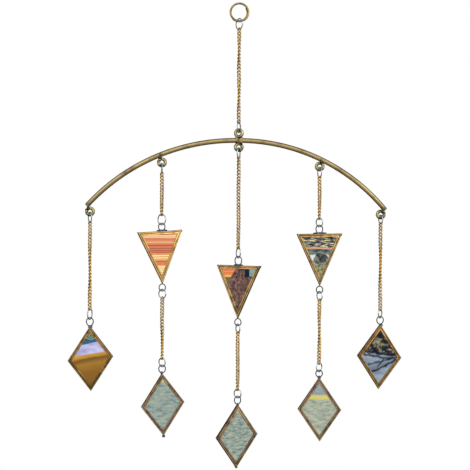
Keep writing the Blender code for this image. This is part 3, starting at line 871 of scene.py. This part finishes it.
def setWorld():
    # White to the eye; to metal, bright in front and above, dim below, and dark behind
    world = bpy.data.worlds.new("studio")
    bpy.context.scene.world = world
    world.use_nodes = True
    tree = world.node_tree
    direction = addNode(tree, "ShaderNodeTexCoord").outputs["Generated"]
    parts = addNode(tree, "ShaderNodeSeparateXYZ", {"Vector": direction}).outputs
    height = rescale(parts["Z"], -1, 1)
    levels = [(0, [0.26]), (0.3, [0.38]), (0.42, [0.52]), (0.53, [0.78]), (0.7, [0.95]), (1, [0.8])]
    upward = colourRamp(height, levels, grey)
    facing = rescale(parts["Y"], 0.2, -0.6, 0.16, 1.0)
    seen = addNode(tree, "ShaderNodeVectorMath", {0: upward, 1: facing}, operation="MULTIPLY").outputs[0]
    path = addNode(tree, "ShaderNodeLightPath").outputs
    colour = blend(path["Is Glossy Ray"], (255, 255, 255), seen)
    setSockets(tree.nodes["Background"], {"Color": colour, "Strength": 1.0})


setWorld()
aimHeight = -0.22
lights = {
    "keyLight": {"place": (-0.9, -1.5, 0.9), "size": 1.6, "power": 5},
    "fillLight": {"place": (1.3, -1.2, 0.3), "size": 1.2, "power": 7},
}
for name, data in lights.items():
    lamp = bpy.data.lights.new(name, "AREA")
    lamp.size, lamp.energy = data["size"], data["power"]
    holder = addObject(name, lamp)
    holder.location = data["place"]
    aim = Vector((0, 0, aimHeight)) - Vector(data["place"])
    holder.rotation_euler = aim.to_track_quat("-Z", "Y").to_euler()

ground = {"reach": 2.0, "height": -1.0}
ways = [(-1, -1), (1, -1), (1, 1), (-1, 1)]
floorCorners = [(x * ground["reach"], y * ground["reach"], ground["height"]) for x, y in ways]
floorMesh = bpy.data.meshes.new("floor")
floorMesh.from_pydata(floorCorners, [], [(0, 1, 2, 3)])
floorPaint, _, floorShader = newMaterial("floorPaint")
setSockets(floorShader, {"Base Color": srgb(244, 244, 242), "Roughness": 0.9})
floorMesh.materials.append(floorPaint)
floor = addObject("floor", floorMesh)
floor.visible_glossy = False

print("what the mirrors reflect")


def stretched(uv, across, down, seed, detail=3.0, roughness=0.55):
    # Noise drawn out along one way of the picture
    sockets = {"Vector": uv, "Scale": (across, down, 1), "Location": (seed, seed, seed)}
    mapping = addNode(treeOf(uv), "ShaderNodeMapping", sockets)
    return noise(mapping.outputs["Vector"], 1.0, detail, roughness)


def patch(place, centre, size, ragged, soft=0.08):
    # 1 inside an ellipse and 0 outside, with its edge pushed about by noise
    right, down, rough = place
    sideways = maths("DIVIDE", minus(right, centre[0]), size[0])
    upright = maths("DIVIDE", minus(down, centre[1]), size[1])
    distance = plus(times(sideways, sideways), times(upright, upright))
    distance = plus(distance, times(minus(rough, 0.5), ragged))
    return rescale(distance, 1 + soft, 1 - soft)


def slantedBand(place, start, slope, thickness, ragged=0.0, soft=0.012):
    # 1 within a band whose middle runs down from start by the slope across the picture, and 0 elsewhere
    right, down, rough = place
    line = plus(start, times(right, slope))
    line = plus(line, times(minus(rough, 0.5), ragged))
    off = maths("ABSOLUTE", minus(down, line))
    return rescale(off, thickness / 2 + soft, thickness / 2 - soft)


def levelBands(down, wobble, amount, bands):
    # Colour by how far down the picture, with the edges of the bands pushed about by noise
    moved = plus(down, times(minus(wobble, 0.5), amount))
    return colourRamp(moved, bands)


def stripes(uv, down, count, waver):
    # Lines across the picture, 0 to 1: the sine of how far down, bent a little by long drawn-out noise
    bent = plus(down, times(stretched(uv, 2, 14, 4.1, 2.0), waver))
    return rescale(maths("SINE", times(bent, 2 * math.pi * count)), -0.5, 0.7)


def paintedWood(uv, place):
    # Boards in orange, red and cream, seen edge on
    _, down, rough = place
    bands = [
        (0.0, (252, 214, 164)), (0.1, (250, 206, 150)), (0.15, (244, 166, 112)), (0.25, (232, 128, 86)),
        (0.335, (222, 112, 80)), (0.44, (234, 132, 90)), (0.46, (255, 236, 172)), (0.55, (253, 224, 152)),
        (0.57, (234, 140, 98)), (0.65, (226, 118, 84)), (0.67, (255, 236, 178)), (1.0, (253, 224, 164)),
    ]
    boards = levelBands(down, rough, 0.008, bands)
    lines = colourRamp(down, [
        (0.0, (232, 140, 92)), (0.16, (188, 80, 60)), (0.445, (172, 72, 58)), (0.465, (226, 150, 84)),
        (0.55, (222, 140, 80)), (0.58, (176, 76, 58)), (0.66, (232, 172, 104)),
    ])
    colour = blend(times(stripes(uv, down, 24, 0.02), 0.9), boards, lines)
    pale = times(stripes(uv, down, 9.3, 0.02), rescale(down, 0.5, 0.1, 0.0, 0.6))
    colour = blend(pale, colour, (255, 222, 176))
    return blend(slantedBand(place, 0.341, 0.0, 0.014, 0.0, 0.008), colour, (100, 62, 80))


def darkRoom(uv, place):
    # A brown curtain between orange boards on the left and a teal window on the right
    right, down, rough = place
    cloth = stretched(uv, 14, 16, 3.1, 5.0, 0.7)
    colour = colourRamp(cloth, [(0.35, (66, 48, 52)), (0.5, (102, 76, 72)), (0.64, (156, 122, 102))])
    boards = levelBands(down, rough, 0.01, [
        (0.0, (236, 140, 96)), (0.06, (244, 176, 124)), (0.09, (228, 120, 84)), (0.13, (250, 170, 100)),
        (0.16, (232, 124, 84)), (0.19, (255, 206, 96)), (0.22, (250, 190, 80)),
    ])
    boards = blend(times(stripes(uv, down, 22, 0.02), 0.6), boards, (206, 84, 58))
    slope = plus(right, times(down, 0.75))
    boardsMask = times(rescale(slope, 0.50, 0.48), rescale(down, 0.235, 0.225))
    wall = rescale(plus(right, times(down, 0.35)), 0.44, 0.40)
    colour = blend(times(wall, 0.75), colour, (120, 104, 86))
    colour = blend(boardsMask, colour, boards)
    post = times(rescale(right, 0.635, 0.65), rescale(down, 0.24, 0.22))
    colour = blend(post, colour, (34, 36, 48))
    window = times(rescale(right, 0.745, 0.755), rescale(down, 0.22, 0.20))
    teal = colourRamp(rough, [(0.3, (96, 140, 144)), (0.7, (146, 176, 164))])
    return blend(window, colour, teal)


def gardenRocks(uv, place):
    # Cream and slate ripples above, dark rocks in the middle, pale stone below
    down = place[1]
    ripples = stretched(uv, 7, 52, 5.2, 4.0, 0.7)
    colour = colourRamp(ripples, [
        (0.42, (28, 36, 56)), (0.49, (66, 76, 88)), (0.54, (160, 144, 104)), (0.6, (236, 222, 184)),
    ])
    colour = blend(slantedBand(place, 0.275, 0.02, 0.03, 0.03), colour, (232, 170, 136))
    ledge = stretched(uv, 9, 30, 1.7, 3.0)
    shade = colourRamp(ledge, [(0.4, (44, 58, 68)), (0.62, (128, 138, 132))])
    colour = blend(slantedBand(place, 0.345, 0.0, 0.085, 0.03), colour, shade)
    stones = stretched(uv, 16, 14, 8.0, 4.0, 0.7)
    lower = colourRamp(stones, [(0.38, (96, 100, 90)), (0.55, (156, 162, 156)), (0.7, (220, 224, 218))])
    colour = blend(rescale(down, 0.385, 0.40), colour, lower)
    rock = colourRamp(stones, [(0.35, (30, 36, 48)), (0.55, (78, 84, 82)), (0.68, (134, 132, 96))])
    colour = blend(patch(place, (0.5, 0.46), (0.3, 0.06), 1.4), colour, (222, 228, 226))
    colour = blend(patch(place, (0.52, 0.48), (0.15, 0.1), 2.4), colour, rock)
    boulder = colourRamp(stones, [(0.4, (76, 84, 86)), (0.62, (150, 148, 128))])
    colour = blend(patch(place, (0.43, 0.49), (0.06, 0.055), 1.2), colour, boulder)
    moss = colourRamp(stones, [(0.4, (92, 88, 62)), (0.6, (176, 168, 120))])
    return blend(patch(place, (0.52, 0.68), (0.12, 0.09), 1.6), colour, moss)


def amberBowl(uv, place):
    # Blue cloth with thin yellow rings, a lilac strip and a golden bowl below
    right, down, _ = place
    waves = stretched(uv, 3, 12, 4.4, 3.0)
    blue = colourRamp(waves, [(0.35, (36, 76, 108)), (0.65, (66, 112, 146))])
    sideways = maths("DIVIDE", minus(right, 0.51), 0.1)
    upright = maths("DIVIDE", minus(down, 0.15), 0.05)
    ringAt = plus(times(sideways, sideways), times(upright, upright))
    ringAt = maths("SQRT", ringAt)
    for size, thickness in ((1.0, 0.16), (0.42, 0.14)):
        off = maths("ABSOLUTE", minus(ringAt, size))
        line = rescale(off, thickness + 0.06, thickness - 0.04)
        blue = blend(times(line, 0.8), blue, (160, 166, 92))
    lilac = colourRamp(waves, [(0.35, (164, 160, 204)), (0.65, (204, 200, 236))])
    ripple = times(minus(waves, 0.5), 0.05)
    level = plus(plus(down, times(right, 0.13)), ripple)
    amber = colourRamp(level, [
        (0.48, (214, 162, 76)), (0.53, (192, 140, 56)), (0.57, (120, 86, 42)), (0.64, (166, 120, 52)),
        (0.76, (142, 98, 42)), (1.0, (134, 90, 40)),
    ])
    amber = blend(rescale(waves, 0.5, 0.75, 0.0, 0.4), amber, (122, 76, 28))
    upper = plus(down, times(right, 0.16))
    colour = blend(rescale(upper, 0.335, 0.35), blue, lilac)
    lower = plus(down, times(right, 0.1))
    return blend(rescale(lower, 0.467, 0.482), colour, amber)


def bareBranches(uv, place):
    # Dark foliage above a pale sky, with branches that slant across it
    right, down, rough = place
    sky = stretched(uv, 3, 8, 6.3, 3.0)
    colour = colourRamp(sky, [(0.35, (112, 122, 138)), (0.65, (158, 170, 184))])
    leaves = stretched(uv, 5, 10, 2.2, 5.0, 0.7)
    foliage = colourRamp(leaves, [
        (0.4, (24, 28, 44)), (0.52, (48, 50, 60)), (0.57, (128, 118, 84)), (0.66, (178, 172, 154)),
    ])
    edge = plus(plus(down, times(right, -0.1)), times(rough, 0.1))
    colour = blend(rescale(edge, 0.475, 0.46), colour, foliage)
    branches = ((0.66, -0.17, 0.022, 0.07), (0.84, -0.32, 0.034, 0.08), (0.44, 0.12, 0.028, 0.08))
    for branch in branches:
        colour = blend(slantedBand(place, *branch), colour, (34, 32, 48))
    fork = times(slantedBand(place, 1.02, -0.8, 0.03), rescale(right, 0.44, 0.46))
    fork = times(fork, rescale(right, 0.62, 0.6))
    colour = blend(fork, colour, (46, 46, 62))
    corner = rescale(minus(down, times(right, 1.15)), 0.42, 0.47)
    return blend(times(corner, 0.6), colour, (212, 156, 150))


def cloudySky(uv, place, tint):
    # Pale clouds in slow swirls with a few small bright spots, and in one of them a yellow stripe
    down = place[1]
    swirl = stretched(uv, 8, 30, tint["seed"], 6.0, 0.7)
    colour = colourRamp(swirl, [
        (0.38, tint["shade"]), (0.47, tint["middle"]), (0.54, tint["light"]), (0.63, tint["bright"]),
    ])
    tipMask = rescale(down, tint["tip"] + 0.02, tint["tip"] - 0.02)
    colour = blend(times(tipMask, 0.8), colour, (216, 206, 138))
    flecks = rescale(stretched(uv, 26, 34, tint["seed"] + 4, 2.0, 0.7), 0.7, 0.76)
    colour = blend(times(flecks, tint["flecks"]), colour, (240, 240, 232))
    if "stripe" not in tint:
        return colour
    bluer = blend(0.55, colour, (128, 146, 176))
    upper = blend(rescale(down, 0.335, 0.32), colour, bluer)
    stripe = slantedBand(place, tint["stripe"], 0.0, 0.068, 0.02)
    line = slantedBand(place, tint["stripe"] - 0.055, 0.0, 0.02, 0.02)
    upper = blend(line, upper, (150, 150, 156))
    return blend(times(stripe, 0.9), upper, (220, 204, 104))


skies = {
    "left_diamond": {
        "seed": 2.6, "shade": (112, 126, 132), "middle": (144, 158, 154),
        "light": (154, 166, 152), "bright": (174, 180, 158),
        "tip": 0.14, "flecks": 0.2,
    },
    "centre_diamond": {
        "seed": 7.9, "shade": (106, 120, 128), "middle": (142, 154, 146),
        "light": (158, 166, 150), "bright": (188, 190, 168),
        "tip": 0.13, "flecks": 0.9,
    },
    "right_diamond": {
        "seed": 4.7, "shade": (140, 146, 138), "middle": (162, 168, 152),
        "light": (174, 178, 158), "bright": (192, 192, 170),
        "tip": 0.0, "flecks": 0.1, "stripe": 0.307,
    },
}
pictures = {
    "left_triangle": paintedWood,
    "centre_triangle": darkRoom,
    "right_triangle": gardenRocks,
    "far_left_diamond": amberBowl,
    "far_right_diamond": bareBranches,
}
card = {"reach": 2.2, "inset": 0.03, "strength": 1.2}


def cardMaterial(name):
    # The picture that the pane reflects, as plain light: a painted reflection on a glowing card
    material, tree, shader = newMaterial(name)
    tree.nodes.remove(shader)
    uv = addNode(tree, "ShaderNodeUVMap", uv_map="picture").outputs["UV"]
    parts = addNode(tree, "ShaderNodeSeparateXYZ", {"Vector": uv}).outputs
    place = (parts["X"], parts["Y"], stretched(uv, 9, 11, 0.7, 4.0))
    colour = cloudySky(uv, place, skies[name]) if name in skies else pictures[name](uv, place)
    glow = addNode(tree, "ShaderNodeEmission", {"Color": colour, "Strength": card["strength"]})
    setSockets(tree.nodes["Material Output"], {"Surface": glow.outputs["Emission"]})
    return material


def reflectedCard(name, data, eyePoint):
    # The camera mirrored in the pane looks through the pane's corners, and the card fills what it sees,
    # so a corner of the card = mirrored camera + reach * (corner of the pane - mirrored camera)
    corners = outlineOf(data)
    flat = np.insert(corners, 1, -pane["halfThickness"], 1)
    points = turned((flat, []), data["lean"], data["yaw"], data["x"], data["z"])[0]
    yaw = math.radians(data["yaw"])
    across = np.array([math.cos(yaw), math.sin(yaw), 0])
    facing = np.array([math.sin(yaw), -math.cos(yaw), 0])
    mirrored = eyePoint - 2 * ((eyePoint - points[0]) @ facing) * facing
    sideways, upright = (points - points[0]) @ across, points[:, 2]
    low = np.array([sideways.min(), upright.min()])
    high = np.array([sideways.max(), upright.max()])
    near, far = card["inset"], 1 - card["inset"]
    uv = np.array([(near, far), (far, far), (far, near), (near, near)])
    side = low[0] + uv[:, 0] * (high[0] - low[0])
    tall = high[1] - uv[:, 1] * (high[1] - low[1])
    onPane = points[0] + side[:, None] * across
    onPane[:, 2] = tall
    seen = mirrored + card["reach"] * (onPane - mirrored)
    mesh = bpy.data.meshes.new(name)
    mesh.from_pydata((seen * mm).tolist(), [], [(0, 1, 2, 3)])
    mesh.uv_layers.new(name="picture").data.foreach_set("uv", uv.ravel())
    mesh.materials.append(cardMaterial(name))
    made = addObject(camel(name) + "Reflection", mesh)
    for ray in ("camera", "diffuse", "shadow", "transmission", "volume_scatter"):
        setattr(made, "visible_" + ray, False)


eyePoint = np.array(camera.matrix_world.translation) / mm
for name, data in pendants.items():
    reflectedCard(name, data, eyePoint)
